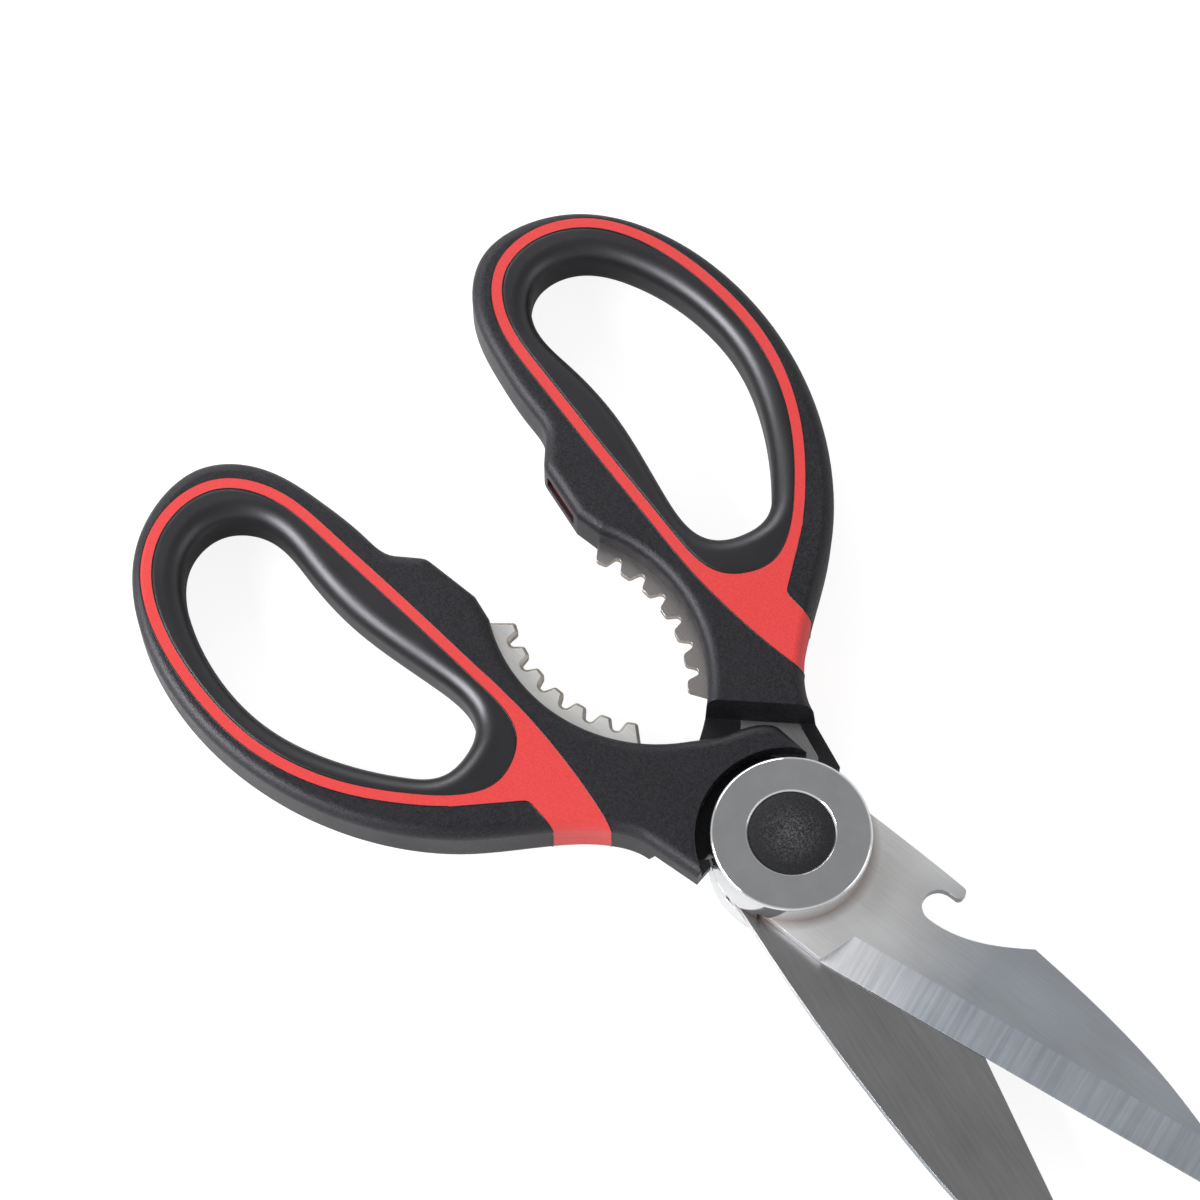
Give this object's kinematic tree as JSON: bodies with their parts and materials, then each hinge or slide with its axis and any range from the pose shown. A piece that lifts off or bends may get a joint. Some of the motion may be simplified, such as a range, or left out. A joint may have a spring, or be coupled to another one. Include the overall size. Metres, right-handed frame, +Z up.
{
  "type": "kitchen shears",
  "caption": "Kitchen shears lying flat and part open, with moulded finger loops, a disc-covered pivot, toothed jaws between the handles and a bottle-opener hook in one blade.",
  "frame": {"origin": "on the pivot axis, at the flat outer face of the lower pivot disc, which the shears rest on", "axes": "+X along the centreline from the pivot towards the blade tips, +Y towards the lower half's finger loop, +Z up along the pivot axis"},
  "size_m": [0.2177, 0.1282, 0.016],
  "materials": {
    "blade_steel": "ground stainless steel, satin",
    "handle_black": "fine grained black moulding",
    "handle_red": "satin red moulding",
    "grip_black": "smooth soft grip",
    "pad_red": "matt",
    "disc_chrome": "polished",
    "cap_black": "fine grained, low dome",
    "bush_plastic": "plain",
    "fastener_steel": "plain"
  },
  "bodies": {
    "lower_half": {"lower_blade": "blade_steel", "lower_jaw_plate": "blade_steel", "lower_handle_shell": "handle_black", "lower_handle_core": "handle_red", "lower_grip_ring": "grip_black", "lower_stop_pad": "pad_red", "lower_disc": "disc_chrome", "lower_disc_cap": "cap_black", "lower_pivot_bush": "bush_plastic", "pivot_screw": "fastener_steel", "spring_washer": "fastener_steel", "flat_washer": "fastener_steel", "pivot_nut": "fastener_steel"},
    "upper_half": {"upper_blade": "blade_steel", "upper_jaw_plate": "blade_steel", "upper_handle_shell": "handle_black", "upper_handle_core": "handle_red", "upper_grip_ring": "grip_black", "upper_stop_pad": "pad_red", "upper_disc": "disc_chrome", "upper_disc_cap": "cap_black", "upper_pivot_bush": "bush_plastic"}
  },
  "joints": [
    {"name": "pivot", "type": "hinge", "parent": "lower_half", "child": "upper_half", "pos_m": [0, 0, 0.008], "axis": [0, 0, 1], "range_deg": [-18.6, 41.4]}
  ]
}
